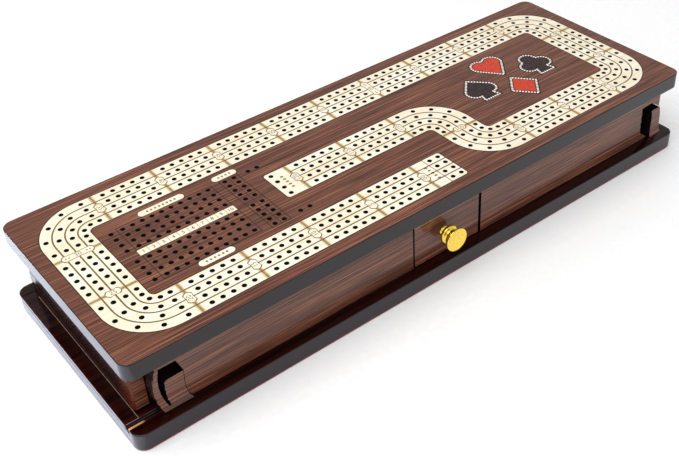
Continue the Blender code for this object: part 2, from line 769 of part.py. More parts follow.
def build():
    clear_scene()
    finishes = {
        "wenge": material("wenge", (0.165, 0.080, 0.055), 0.38),
        "lacquer": material("dark_lacquer", (0.035, 0.012, 0.012), 0.15),
        "maple": material("maple", (0.90, 0.82, 0.62), 0.42),
        "rope": material("rope_line", (0.88, 0.84, 0.74), 0.45),
        "inlay_red": material("inlay_red", (0.62, 0.06, 0.04), 0.35),
        "inlay_black": material("inlay_black", (0.03, 0.022, 0.025), 0.35),
        "plain_wood": material("plain_wood", (0.55, 0.28, 0.12), 0.5),
        "brass": material("polished_brass", (0.83, 0.60, 0.22), 0.15, 1.0),
        "steel": material("steel", (0.55, 0.55, 0.56), 0.35, 1.0),
        "felt": material("crimson_felt", (0.42, 0.02, 0.06), 0.95),
    }
    drawer = empty("drawer_slide", (KNOB_X, -CASE_Y, KNOB_Z))
    tray = empty("tray_slide", (-CASE_X, 0.0, CASE_BOTTOM + CASE_HEIGHT / 2))
    make_base(finishes)
    make_case(finishes)
    make_drawer_bay(finishes)
    make_board(finishes)
    make_drawer(finishes, drawer)
    make_knob(finishes, drawer)
    make_tray(finishes, tray)


build()
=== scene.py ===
"""Looks of the cribbage board: camera, light, floor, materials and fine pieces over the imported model."""

import math

import bmesh
import bpy
from mathutils import Matrix, Vector


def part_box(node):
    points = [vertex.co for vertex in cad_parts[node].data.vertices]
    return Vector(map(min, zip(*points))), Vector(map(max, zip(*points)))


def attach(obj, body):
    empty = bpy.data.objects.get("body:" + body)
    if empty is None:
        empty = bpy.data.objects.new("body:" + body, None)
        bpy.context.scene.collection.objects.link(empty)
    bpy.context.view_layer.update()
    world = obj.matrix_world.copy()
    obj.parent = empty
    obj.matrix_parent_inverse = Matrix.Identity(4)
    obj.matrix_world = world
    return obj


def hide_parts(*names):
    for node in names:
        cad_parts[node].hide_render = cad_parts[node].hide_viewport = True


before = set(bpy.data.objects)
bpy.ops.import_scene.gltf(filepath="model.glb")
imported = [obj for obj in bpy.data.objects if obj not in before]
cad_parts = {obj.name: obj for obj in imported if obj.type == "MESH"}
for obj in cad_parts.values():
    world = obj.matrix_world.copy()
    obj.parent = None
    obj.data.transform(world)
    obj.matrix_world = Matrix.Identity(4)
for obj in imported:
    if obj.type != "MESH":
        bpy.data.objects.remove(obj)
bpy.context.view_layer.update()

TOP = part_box("top_board")[1].z
BASE_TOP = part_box("base_board")[1].z
MM = 0.001
GAP = 0.3 * MM
CORNER_RADIUS = 6.5 * MM

# Edges sharper than these angles, in degrees, are not shaded smooth.
WALL_ANGLE = 40
BEAD_ANGLE = 60
KNOB_ANGLE = 50

# Slabs: steps round an arris, and the flat ring that keeps a wall's shading straight.
ARRIS_STEPS = 4
WALL_RING = 0.2 * MM

# Track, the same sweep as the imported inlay's.
LANE = 6.9 * MM
LANES = 4
BAND_HALF = 13.65 * MM
TURN_RADIUS = 17.15 * MM
TRACK_X = 184.15 * MM
TRACK_Y = 49.45 * MM
STEP = 39.125 * MM
END_STATION = 20.2 * MM
TURN_X = 50.6 * MM
TURN_TO_BADGE = 27.7 * MM
GROUP = 5
GROUP_MARGIN = 6.8 * MM
CLOSEST_HOLES = 5.6 * MM
START_HOLES = (13.3 * MM, 19.7 * MM)
START_LINE = 9.8 * MM
START_END = 22.6 * MM
FINISH_HOLE = 11.2 * MM
FINISH_END = 15.0 * MM
END_RADIUS = 2.0 * MM
ARC_STEPS = 16
END_STEPS = 6
HOLE_RADIUS = 1.5 * MM
HOLE_STEPS = 18

# Depths below the top face.
VENEER = 6.5 * MM
TRACK_DEPTH = 5.3 * MM
HOLE_DEPTH = 5.5 * MM
PLATE = 2.5 * MM
INLAY_DROP = 0.07 * MM
BAR_DROP = 0.05 * MM
LINE_DROP = 0.03 * MM
BEAD_DROP = 0.01 * MM


# Materials.


class Shader:
    """Shorthand for building one node material."""

    def __init__(self, name):
        self.material = bpy.data.materials.new(name)
        self.material.use_nodes = True
        self.tree = self.material.node_tree
        self.surface = self.tree.nodes["Principled BSDF"]

    def node(self, kind, inputs=None, **settings):
        made = self.tree.nodes.new("ShaderNode" + kind)
        for key, value in settings.items():
            setattr(made, key, value)
        for key, value in (inputs or {}).items():
            self.put(made, key, value)
        return made

    def put(self, target, socket, value):
        if isinstance(value, bpy.types.NodeSocket):
            self.tree.links.new(value, target.inputs[socket])
        elif isinstance(value, bpy.types.Node):
            self.tree.links.new(value.outputs[0], target.inputs[socket])
        else:
            target.inputs[socket].default_value = value

    def set(self, **inputs):
        """Fill the surface's inputs, named with _ for each space."""
        for key, value in inputs.items():
            self.put(self.surface, key.replace("_", " "), value)

    def coordinate(self, kind, axis):
        return self.node("SeparateXYZ", {"Vector": self.node("TexCoord").outputs[kind]}).outputs[axis]

    def noise(self, scale, detail, roughness, offset=(0.0, 0.0, 0.0), distortion=0.0):
        place = {"Vector": self.node("TexCoord").outputs["Object"], "Scale": scale, "Location": offset}
        return self.node("TexNoise", {"Vector": self.node("Mapping", place), "Scale": 1.0, "Detail": detail,
                                      "Roughness": roughness, "Distortion": distortion})

    def ramp(self, value, *stops):
        made = self.node("ValToRGB", {"Fac": value})
        points = made.color_ramp.elements
        while len(points) < len(stops):
            points.new(0.5)
        for point, (position, colour) in zip(points, stops):
            point.position = position
            point.color = (*colour, 1.0)
        return made

    def grey(self, value, low, high, at=(0.0, 1.0)):
        return self.node("MapRange", {"Value": value, "From Min": at[0], "From Max": at[1],
                                      "To Min": low, "To Max": high})

    def mix(self, factor, a, b, blend="MIX"):
        made = self.node("Mix", data_type="RGBA", blend_type=blend)
        self.put(made, 0, factor)
        for socket, colour in ((6, a), (7, b)):
            self.put(made, socket, (*colour, 1.0) if isinstance(colour, tuple) else colour)
        return made.outputs[2]

    def bump(self, height, strength, distance):
        return self.node("Bump", {"Height": height, "Strength": strength, "Distance": distance})


def facing(shader, axis):
    """1 on faces whose normal lies along an axis, 0 on the rest."""
    size = shader.node("Math", {0: shader.coordinate("Normal", axis)}, operation="ABSOLUTE")
    return shader.grey(size, 0.0, 1.0, (0.80, 0.92))


def wenge_colour(shader, offset):
    """Dark brown with fine streaks along X, broad bands and short pores."""
    fine = shader.noise((26.0, 2600.0, 2600.0), 3.0, 0.6, offset)
    streak = shader.noise((10.0, 1150.0, 1150.0), 4.0, 0.62, offset, 0.2)
    broad = shader.noise((3.0, 110.0, 110.0), 3.0, 0.5, offset)
    base = shader.ramp(streak, (0.34, (0.040, 0.013, 0.009)), (0.45, (0.100, 0.036, 0.022)),
                       (0.54, (0.175, 0.067, 0.038)), (0.68, (0.340, 0.145, 0.080)))
    toned = shader.mix(shader.grey(broad, 0.0, 0.38, (0.35, 0.7)), base, (0.130, 0.042, 0.026))
    pores = shader.ramp(fine, (0.36, (0.20, 0.14, 0.12)), (0.50, (0.98, 0.95, 0.93)),
                        (0.64, (1.75, 1.66, 1.58)))
    return shader.mix(0.9, toned, pores, "MULTIPLY"), fine


def wenge(name, axis=None, offset=(0.0, 0.0, 0.0), coat=0.0):
    """Satin dark veneer; faces off the given axis are black lacquer."""
    shader = Shader(name)
    colour, fine = wenge_colour(shader, offset)
    rough = shader.grey(fine, 0.42, 0.30, (0.3, 0.7))
    if axis:
        veneer = facing(shader, axis)
        colour = shader.mix(veneer, (0.010, 0.006, 0.006), colour)
        rough = shader.node("Mix", {0: veneer, 2: 0.22, 3: rough}, data_type="FLOAT")
    shader.set(Base_Color=colour, Roughness=rough, Normal=shader.bump(fine, 0.10, 0.0002),
               Specular_IOR_Level=0.25, Coat_Weight=coat, Coat_Roughness=0.06)
    return shader.material


def lacquer_bump(shader):
    """The faint ripple of a polished coat: its noise and its bump."""
    ripple = shader.noise((90.0, 90.0, 90.0), 2.0, 0.5)
    return ripple, shader.bump(ripple, 0.04, 0.0006)


def lacquer(name, colour, glow, roughness=0.11, side=None, flat_shine=0.42):
    """Polished dark lacquer with the wood just showing; upright faces may differ from flat ones."""
    shader = Shader(name)
    streak = shader.noise((6.0, 240.0, 240.0), 5.0, 0.6)
    tint = shader.mix(shader.grey(streak, 0.0, 1.0, (0.35, 0.7)), colour, glow)
    shine = flat_shine
    if side:
        flat = facing(shader, "Z")
        tint = shader.mix(flat, side, tint)
        shine = shader.grey(flat, 0.42, flat_shine)
    ripple, bump = lacquer_bump(shader)
    shader.set(Base_Color=tint, Roughness=shader.grey(ripple, roughness, roughness + 0.06), Normal=bump,
               Specular_IOR_Level=shine)
    return shader.material


# Object-Y span over which the end panels' painted orange highlight fades in toward the front end.
PAINTED_GLINT_Y = (-57.0 * MM, -40.0 * MM)


def end_panel(name):
    """Near-black red lacquer with a painted orange highlight at its front end, and a veneered end face."""
    shader = Shader(name)
    veneer = facing(shader, "Y")
    colour, fine = wenge_colour(shader, (0.3, 0.0, 1.0))
    streak = shader.noise((240.0, 6.0, 240.0), 5.0, 0.6)
    dark = shader.mix(shader.grey(streak, 0.0, 1.0, (0.35, 0.7)), (0.006, 0.001, 0.001),
                      (0.020, 0.003, 0.002))
    # Painted highlight: the lacquer turns orange toward the front end, standing in for light caught there.
    glint_mask = shader.grey(shader.coordinate("Object", "Y"), 1.0, 0.0, PAINTED_GLINT_Y)
    glinted = shader.mix(glint_mask, dark, (0.095, 0.014, 0.004))
    shader.set(Base_Color=shader.mix(veneer, glinted, colour),
               Roughness=shader.grey(fine, 0.24, 0.18, (0.3, 0.7)), Normal=lacquer_bump(shader)[1],
               Specular_IOR_Level=0.12)
    return shader.material


def rail_wood(name, end_x):
    """Light guide strip where it shows past the case, with painted shade turning it near-black under the
    case.
    """
    shader = Shader(name)
    streak = shader.noise((9.0, 300.0, 300.0), 5.0, 0.62)
    light = shader.ramp(streak, (0.3, (0.46, 0.20, 0.07)), (0.65, (0.72, 0.36, 0.14)))
    # Painted shade: the strip goes near-black where it runs under the case.
    under_case_shade = shader.grey(shader.coordinate("Object", "X"), 0.0, 1.0, (end_x - 0.5 * MM, end_x + 1.5 * MM))
    shader.set(Base_Color=shader.mix(under_case_shade, light, (0.010, 0.003, 0.002)),
               Roughness=shader.grey(streak, 0.5, 0.4), Normal=shader.bump(streak, 0.08, 0.0003))
    return shader.material


def pale_wood(name, dark, light, roughness=0.42, grain=(9.0, 420.0, 420.0), strength=0.05):
    """Light wood with its grain along the axis of the smallest scale."""
    shader = Shader(name)
    streak = shader.noise(grain, 5.0, 0.62)
    cloud = shader.noise((22.0, 40.0, 40.0), 3.0, 0.5)
    base = shader.ramp(streak, (0.30, dark), (0.62, light))
    shader.set(Base_Color=shader.mix(shader.grey(cloud, 0.0, 0.5, (0.42, 0.68)), base, dark),
               Roughness=shader.grey(streak, roughness + 0.08, roughness - 0.05),
               Normal=shader.bump(streak, strength, 0.0003))
    return shader.material


def stain(name, dark, light, roughness=0.5):
    """Burnt or dyed wood with an uneven tone."""
    shader = Shader(name)
    patch = shader.noise((700.0, 700.0, 700.0), 4.0, 0.6)
    shader.set(Base_Color=shader.ramp(patch, (0.3, dark), (0.7, light)),
               Roughness=shader.grey(patch, roughness + 0.1, roughness - 0.1), Specular_IOR_Level=0.22)
    return shader.material


def metal(name, dark, light, roughness):
    """Metal with fine marks of turning round the Y axis."""
    shader = Shader(name)
    turning = shader.noise((900.0, 60.0, 900.0), 3.0, 0.5)
    shader.set(Base_Color=shader.ramp(turning, (0.3, dark), (0.7, light)),
               Roughness=shader.grey(turning, roughness, roughness + 0.08),
               Normal=shader.bump(turning, 0.03, 0.0002), Metallic=1.0)
    return shader.material


def felt_material(name):
    """Crimson felt with a soft pile."""
    shader = Shader(name)
    pile = shader.noise((1800.0, 1800.0, 1800.0), 6.0, 0.7)
    shader.set(Base_Color=shader.ramp(pile, (0.3, (0.20, 0.004, 0.022)), (0.7, (0.50, 0.014, 0.065))),
               Normal=shader.bump(pile, 0.6, 0.0005), Roughness=0.95, Sheen_Weight=0.2, Sheen_Roughness=0.4)
    return shader.material


def plain(name, colour, roughness, glow=0.0):
    """The floor, and the near-black painted shade of holes' insides and dark lines: one soft tone with a
    faint mottle.
    """
    shader = Shader(name)
    patch = shader.noise((300.0, 300.0, 300.0), 3.0, 0.5)
    dimmed = tuple(c * 0.92 for c in colour)
    shader.set(Base_Color=shader.ramp(patch, (0.3, dimmed), (0.7, colour)), Roughness=roughness,
               Emission_Color=(1.0, 1.0, 1.0, 1.0), Emission_Strength=glow)
    return shader.material


finishes = {
    "top": wenge("wenge_top", offset=(0.0, 0.0, 3.0)),
    "front": wenge("wenge_front", "Y", (0.13, 0.0, 7.0), 0.4),
    "drawer": wenge("wenge_drawer", "Y", (0.71, 0.4, 2.0), 0.4),
    "edge": lacquer("black_lacquer", (0.007, 0.003, 0.006), (0.012, 0.006, 0.010)),
    "base": lacquer("red_brown_lacquer", (0.004, 0.0006, 0.0005), (0.030, 0.004, 0.002), 0.08,
                    (0.016, 0.009, 0.014), 0.16),
    "end": end_panel("end_panel_lacquer"),
    # Near-black painted shade for the tray's sides and back, where they show in the shadowed gap beside the
    # end panel.
    "tray_shade_dark": lacquer("tray_painted_shade", (0.010, 0.003, 0.002), (0.030, 0.007, 0.004), 0.30),
    "maple": pale_wood("maple", (0.84, 0.72, 0.49), (0.97, 0.92, 0.80)),
    "burnt": stain("burnt_line", (0.12, 0.078, 0.028), (0.23, 0.150, 0.062)),
    "bar": stain("burnt_bar", (0.44, 0.29, 0.12), (0.60, 0.42, 0.20)),
    "bar_soft": stain("burnt_bar_edge", (0.66, 0.52, 0.31), (0.80, 0.65, 0.42)),
    "numeral": stain("burnt_numeral", (0.20, 0.12, 0.045), (0.36, 0.23, 0.10)),
    "ink": stain("dark_numeral", (0.03, 0.02, 0.015), (0.07, 0.05, 0.04)),
    "red": stain("dyed_red", (0.44, 0.026, 0.010), (0.68, 0.066, 0.026), 0.4),
    "black": stain("dyed_black", (0.006, 0.002, 0.003), (0.044, 0.022, 0.024), 0.4),
    "rope": stain("rope_white", (0.86, 0.80, 0.70), (0.98, 0.95, 0.88), 0.45),
    "rope_dark": stain("rope_dark", (0.05, 0.02, 0.02), (0.12, 0.05, 0.04), 0.5),
    # Near-black painted shade for the walls and floors of holes; the same tone draws the dark grooves and
    # seam lines.
    "inside": plain("painted_hole_shade_and_lines", (0.004, 0.002, 0.002), 0.8),
    "light": pale_wood("drawer_wood", (0.36, 0.19, 0.085), (0.56, 0.33, 0.16), 0.5,
                       (300.0, 9.0, 300.0), 0.1),
    "rail": rail_wood("rail_wood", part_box("tray_front")[0].x),
    "tray_line": stain("tray_line", (0.20, 0.13, 0.10), (0.36, 0.26, 0.20)),
    "brass": metal("polished_brass", (0.92, 0.60, 0.06), (1.00, 0.78, 0.16), 0.08),
    "steel": metal("screw_steel", (0.42, 0.42, 0.43), (0.60, 0.60, 0.61), 0.30),
    "felt": felt_material("crimson_felt"),
    "floor": plain("studio_floor", (0.96, 0.96, 0.96), 0.7, 0.10),
}


# Meshes.


def link(name, data):
    made = bpy.data.objects.new(name, data)
    bpy.context.scene.collection.objects.link(made)
    return made


def link_mesh(name, bm):
    """A linked object with the faces of a bmesh, which is freed."""
    mesh = bpy.data.meshes.new(name)
    bm.to_mesh(mesh)
    bm.free()
    return link(name, mesh)


def piece(name, bm, finish, body="box", replaces=(), smooth=None, extra=()):
    """Make an object from a bmesh, ride it on a body and hide the imported parts it replaces."""
    made = link_mesh(name, bm)
    mesh = made.data
    for key in (finish, *extra):
        mesh.materials.append(finishes[key])
    if smooth:
        mesh.shade_smooth()
        mesh.set_sharp_from_angle(angle=math.radians(smooth))
    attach(made, body)
    if replaces:
        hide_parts(*replaces)
    return made


def turn_left(heading):
    return Vector((-heading.y, heading.x))


def arc(centre, radius, start, end, steps):
    angles = [math.radians(start + (end - start) * i / steps) for i in range(steps + 1)]
    return [Vector((centre[0] + radius * math.cos(a), centre[1] + radius * math.sin(a))) for a in angles]


def inset_rectangle(low, high, inset):
    """The board's rounded outline, moved inward."""
    return rounded_rectangle(high.x - low.x - 2 * inset, high.y - low.y - 2 * inset, CORNER_RADIUS - inset)


def hole_ring(centre):
    return arc(centre, HOLE_RADIUS, 0, 360, HOLE_STEPS)[:-1]


def rounded_rectangle(length, width, radius, centre=(0.0, 0.0), steps=10):
    points = []
    for quarter, (sx, sy) in enumerate(((1, 1), (-1, 1), (-1, -1), (1, -1))):
        corner = (centre[0] + sx * (length / 2 - radius), centre[1] + sy * (width / 2 - radius))
        points += arc(corner, radius, 90 * quarter, 90 * quarter + 90, steps)
    return points


def mesh_of(curve):
    """The mesh of a curve, which is removed."""
    holder = link(curve.name, curve)
    bpy.context.view_layer.update()
    mesh = bpy.data.meshes.new_from_object(holder)
    bpy.data.objects.remove(holder)
    bpy.data.curves.remove(curve)
    mesh.materials.clear()
    return mesh


def pierced_slab(outlines, low, high):
    """The area inside the first outline and outside the others, its walls in the second material."""
    curve = bpy.data.curves.new("outline", "CURVE")
    curve.dimensions = "2D"
    curve.fill_mode = "BOTH"
    curve.extrude = (high - low) / 2
    for outline in outlines:
        spline = curve.splines.new("POLY")
        spline.points.add(len(outline) - 1)
        for point, (x, y) in zip(spline.points, outline):
            point.co = (x, y, 0.0, 1.0)
        spline.use_cyclic_u = True
    mesh = mesh_of(curve)
    mesh.transform(Matrix.Translation((0.0, 0.0, (low + high) / 2)))
    bm = bmesh.new()
    bm.from_mesh(mesh)
    bpy.data.meshes.remove(mesh)
    for wall in bm.faces:
        wall.normal_update()
        wall.material_index = 1 if abs(wall.normal.z) < 0.5 else 0
    return bm


def face(bm, points, z, index=0):
    made = bm.faces.new([bm.verts.new((p[0], p[1], z)) for p in points])
    made.normal_update()
    if made.normal.z < 0:
        made.normal_flip()
    made.material_index = index


def strip(bm, line, width, z, index=0):
    """A flat ribbon along a line of points."""
    sides = []
    for i, point in enumerate(line):
        before = line[max(i - 1, 0)]
        after = line[min(i + 1, len(line) - 1)]
        across = turn_left((after - before).normalized()) * width / 2
        sides.append([bm.verts.new((*(point + across * side), z)) for side in (1, -1)])
    for (a, b), (c, d) in zip(sides, sides[1:]):
        bm.faces.new((a, b, d, c)).material_index = index


def loft(bm, outlines, heights, caps=True):
    """Walls through a stack of outlines with the same number of points."""
    loops = [[bm.verts.new((p[0], p[1], z)) for p in line] for line, z in zip(outlines, heights)]
    count = len(loops[0])
    for a, b in zip(loops, loops[1:]):
        for i in range(count):
            j = (i + 1) % count
            bm.faces.new((a[i], a[j], b[j], b[i]))
    if caps:
        for loop in (loops[0][::-1], loops[-1]):
            bm.faces.new(loop)


def rounded_slab(low, high, arris):
    """A slab that fills a box, with rounded corners, rounded arrises and flat walls."""
    wall = min(WALL_RING, (high.z - low.z) / 2 - arris)
    levels = [(0.0, arris + wall)]
    for k in range(ARRIS_STEPS + 1):
        turn = math.radians(90 * k / ARRIS_STEPS)
        levels.append((arris * (1 - math.cos(turn)), arris * (1 - math.sin(turn))))
    stack = [(inset, low.z + depth) for inset, depth in levels[::-1]]
    stack += [(inset, high.z - depth) for inset, depth in levels]
    bm = bmesh.new()
    loft(bm, [inset_rectangle(low, high, inset) for inset, _ in stack], [z for _, z in stack])
    return bm


# Track lines.


def stations():
    """Badge stations in playing order: (point, heading)."""
    west, north, east, south = (Vector(v) for v in ((-1, 0), (0, 1), (1, 0), (0, -1)))
    stops = [(Vector((-k * STEP, -TRACK_Y)), west) for k in range(5)]
    stops += [(Vector((-TRACK_X, y)), north) for y in (-END_STATION, END_STATION)]
    stops += [(Vector((k * STEP, TRACK_Y)), east) for k in range(-4, 5)]
    stops += [(Vector((TRACK_X, y)), south) for y in (END_STATION, -END_STATION)]
    stops += [(Vector((k * STEP, -TRACK_Y)), west) for k in (4, 3, 2)]
    stops += [(Vector((TURN_X, -TRACK_Y / 2)), north)]
    stops += [(Vector((TURN_X - TURN_TO_BADGE - k * STEP, 0)), west) for k in range(3)]
    return stops


STOPS = stations()


def lane_run(first, second, offset, margin=0.0):
    """Sampled line between two stations, at an offset to the left of the centre line."""
    (start, heading), (end, onward) = first, second
    start = start + heading * margin
    end = end - onward * margin
    ends = [start + turn_left(heading) * offset, end + turn_left(onward) * offset]
    if heading.dot(onward) > 0.5:
        return ends
    vertex = start + heading * heading.dot(end - start)
    side = 1 if turn_left(heading).dot(onward) > 0 else -1
    radius = TURN_RADIUS - side * offset
    centre = vertex + (onward - heading) * TURN_RADIUS
    points = []
    for i in range(ARC_STEPS + 1):
        angle = math.radians(90) * i / ARC_STEPS
        points.append(centre - onward * (radius * math.cos(angle)) + heading * (radius * math.sin(angle)))
    return [ends[0], *points, ends[1]]


def rows(centre, count, pitch):
    """Evenly spaced values about a centre."""
    return [centre + pitch * (k - (count - 1) / 2) for k in range(count)]


def along(points, distance):
    """The point at a distance along a line."""
    for i in range(len(points) - 1):
        length = (points[i + 1] - points[i]).length
        if distance <= length or i == len(points) - 2:
            return points[i].lerp(points[i + 1], distance / length)
        distance -= length
    return points[-1]


def track_holes():
    holes = []
    for offset in rows(0.0, LANES, LANE):
        for first, second in zip(STOPS, STOPS[1:]):
            line = lane_run(first, second, offset, GROUP_MARGIN)
            length = sum((b - a).length for a, b in zip(line, line[1:]))
            spacing = max(length / (GROUP - 1), CLOSEST_HOLES)
            lead = (length - spacing * (GROUP - 1)) / 2
            holes += [along(line, lead + spacing * k) for k in range(GROUP)]
        holes += [Vector((x, -TRACK_Y - offset)) for x in START_HOLES]
        holes.append(Vector((STOPS[-1][0].x - FINISH_HOLE, offset)))
    return holes


def rounded_end(tip, heading):
    across = turn_left(heading)
    points = []
    for side in (1, -1):
        centre = tip + across * side * (BAND_HALF - END_RADIUS) - heading * END_RADIUS
        for i in range(END_STEPS + 1):
            angle = math.radians(90) * i / END_STEPS
            outward, onward = math.cos(angle), math.sin(angle)
            if side < 0:
                outward, onward = onward, outward
            points.append(centre + across * side * END_RADIUS * outward + heading * END_RADIUS * onward)
    return points


def band_side(offset):
    side = []
    for first, second in zip(STOPS, STOPS[1:]):
        side += lane_run(first, second, offset)[1:-1]
    return side


def band_outline():
    (start, heading), (finish, onward) = STOPS[0], STOPS[-1]
    last = rounded_end(finish + onward * FINISH_END, onward)
    first = rounded_end(start - heading * START_END, -heading)
    return band_side(BAND_HALF) + last + band_side(-BAND_HALF)[::-1] + first


# Suits: unions of round leaves and convex wedges, traced along rays from their centres.

SUIT_CENTRE = Vector((117.2 * MM, 1.0 * MM))
SUIT_SPREAD = Vector((25.5 * MM, 16.0 * MM))
SUIT_HALF = 10.8 * MM
SUIT_POINTS = 160
SUIT_ROUNDS = 60
ROPE_WIDTH = 2.0 * MM
BEAD_PITCH = 1.9 * MM
BEAD_LENGTH = 1.35 * MM
BEAD_WIDTH = 1.6 * MM
BEAD_CROWN = 0.6
BEAD_STEPS = 10


def leaf(x, y, radius):
    return lambda p: (p - Vector((x, y))).length - radius


def wedge(*corners):
    points = [Vector(c) for c in corners]
    edges = []
    for a, b in zip(points, points[1:] + points[:1]):
        ahead = (b - a).normalized()
        edges.append((a, Vector((ahead.y, -ahead.x))))
    return lambda p: max((p - a).dot(out) for a, out in edges)


def stem(top):
    return [
        wedge((-0.15, -1.0), (0.15, -1.0), (0.09, top), (-0.09, top)),
        wedge((-0.42, -1.08), (0.42, -1.08), (0.38, -0.95), (-0.38, -0.95)),
    ]


SUITS = {
    "heart": ((0.0, 1.0), "red", [
        leaf(0.47, 0.42, 0.50), leaf(-0.47, 0.42, 0.50),
        wedge((0.0, -1.0), (0.872, 0.122), (0.47, 0.42), (-0.47, 0.42), (-0.872, 0.122))]),
    "spade": ((-1.0, 0.0), "black", [
        leaf(0.50, -0.16, 0.44), leaf(-0.50, -0.16, 0.44),
        wedge((0.0, 1.0), (-0.818, 0.144), (-0.50, -0.16), (0.50, -0.16), (0.818, 0.144)), *stem(-0.2)]),
    "club": ((1.0, 0.0), "black", [
        leaf(0.0, 0.56, 0.44), leaf(0.54, -0.12, 0.44), leaf(-0.54, -0.12, 0.44), *stem(0.1)]),
    "diamond": ((0.0, -1.0), "red", [wedge((0.0, -1.0), (0.84, 0.0), (0.0, 1.0), (-0.84, 0.0))]),
}


def suit_outline(name, extra=0.0):
    """Walk in along each ray until it meets the suit's edge, moved outward by an extra distance."""
    place, _, parts = SUITS[name]
    centre = SUIT_CENTRE + Vector((place[0] * SUIT_SPREAD.x, place[1] * SUIT_SPREAD.y))
    outline = []
    for k in range(SUIT_POINTS):
        angle = 2 * math.pi * k / SUIT_POINTS
        ray = Vector((math.cos(angle), math.sin(angle)))
        reach = 2.0
        for _ in range(SUIT_ROUNDS):
            reach -= min(part(ray * reach) for part in parts) - extra / SUIT_HALF
        outline.append(centre + ray * (reach * SUIT_HALF))
    return outline


def add_bead(bm, centre, ahead):
    """One low oval dome of the rope border."""
    across = turn_left(ahead)
    base, crown = [], []
    for k in range(BEAD_STEPS):
        angle = 2 * math.pi * k / BEAD_STEPS
        offset = ahead * (BEAD_LENGTH / 2 * math.cos(angle)) + across * (BEAD_WIDTH / 2 * math.sin(angle))
        base.append(bm.verts.new((*(centre + offset), TOP - INLAY_DROP)))
        crown.append(bm.verts.new((*(centre + offset * BEAD_CROWN), TOP - BEAD_DROP)))
    bm.faces.new(crown).material_index = 1
    for k in range(BEAD_STEPS):
        j = (k + 1) % BEAD_STEPS
        bm.faces.new((base[k], base[j], crown[j], crown[k])).material_index = 1


def make_suits():
    for name, (_, finish, _) in SUITS.items():
        bm = bmesh.new()
        body = suit_outline(name)
        loft(bm, [body, body], [TOP - PLATE, TOP - INLAY_DROP])
        piece(name + "_inlay_fine", bm, finish, replaces=[name + "_inlay"])

        inner = suit_outline(name, GAP)
        outer = suit_outline(name, GAP + ROPE_WIDTH)
        up, down = TOP - INLAY_DROP, TOP - PLATE
        bm = bmesh.new()
        loft(bm, [inner, outer, outer, inner, inner], [up, up, down, down, up], caps=False)
        middle = suit_outline(name, GAP + ROPE_WIDTH / 2)
        middle.append(middle[0])
        total = sum((b - a).length for a, b in zip(middle, middle[1:]))
        beads = round(total / BEAD_PITCH)
        for k in range(beads):
            here = along(middle, total * k / beads)
            ahead = (along(middle, total * (k + 0.2) / beads) - here).normalized()
            add_bead(bm, here, ahead)
        piece(name + "_rope_fine", bm, "rope_dark", replaces=[name + "_rope"],
              smooth=BEAD_ANGLE, extra=["rope"])


# Numerals and small ornaments.


def add_text(bm, text, size, centre, up, z, index):
    """Add flat numerals whose upward direction is a given plan vector."""
    curve = bpy.data.curves.new("numeral", "FONT")
    curve.body = text
    curve.size = size
    curve.align_x = "CENTER"
    curve.align_y = "CENTER"
    curve.resolution_u = 3
    mesh = mesh_of(curve)
    mesh.transform(Matrix(((up.y, up.x, 0.0, centre.x), (-up.x, up.y, 0.0, centre.y),
                           (0.0, 0.0, 1.0, z), (0.0, 0.0, 0.0, 1.0))))
    before = len(bm.faces)
    bm.from_mesh(mesh)
    bm.faces.ensure_lookup_table()
    for i in range(before, len(bm.faces)):
        bm.faces[i].material_index = index
    bpy.data.meshes.remove(mesh)


def lozenge(bm, centre, ahead, length, width, z, index=0):
    across = turn_left(ahead)
    face(bm, [centre + ahead * length / 2, centre + across * width / 2,
              centre - ahead * length / 2, centre - across * width / 2], z, index)


BADGE_LENGTH = 9.6 * MM
LONG_BADGE = 19.5 * MM
BADGE_WIDTH = 5.6 * MM
BADGE_RIM = 0.45 * MM
BADGE_POINT = 0.8 * MM
BADGE_DIP = 0.5 * MM
NOTCH = 0.9 * MM


def cartouche(centre, ahead, length, width):
    """A ticket shape with notched corners and pointed ends, its length across the band."""
    across = turn_left(ahead)
    half = length / 2 - BADGE_POINT
    outline = []
    for sa, sb in ((1, 1), (-1, 1), (-1, -1), (1, -1)):
        corner = [(half, width / 2 - NOTCH), (half - NOTCH * 0.5, width / 2 - NOTCH * 0.6),
                  (half - NOTCH, width / 2)]
        if sa * sb < 0:
            corner.reverse()
            tip = across * sa * length / 2
        else:
            tip = ahead * sb * (width / 2 - BADGE_DIP)
        outline += [centre + across * u * sa + ahead * v * sb for u, v in corner]
        outline.append(centre + tip)
    return outline


# Track band, its burnt lines, bars and badges.

LONG_BADGES = (30, 60, 90)
RIM_DROP = 0.035 * MM
BADGE_DROP = 0.025 * MM
NUMERAL_DROP = 0.012 * MM
NUMERAL_SIZE = 4.2 * MM
BAR_START = 0.42
BAR_SHORT = 0.2 * MM
# Width, drop below the top and material of each layer of a bar.
BAR_LAYERS = ((3.0 * MM, 0.060 * MM, 0), (1.9 * MM, 0.055 * MM, 1), (0.5 * MM, 0.045 * MM, 2))
LONG_BADGE_DOTS = (5.2 * MM, 7.0 * MM)
DOT = 1.3 * MM
LANE_LINE = 0.9 * MM
CROSS_LINE = 0.5 * MM
END_MARKS = 5
END_MARK = (2.8 * MM, 1.9 * MM)
END_MARK_PITCH = 3.0 * MM
END_MARK_X = 6.6 * MM


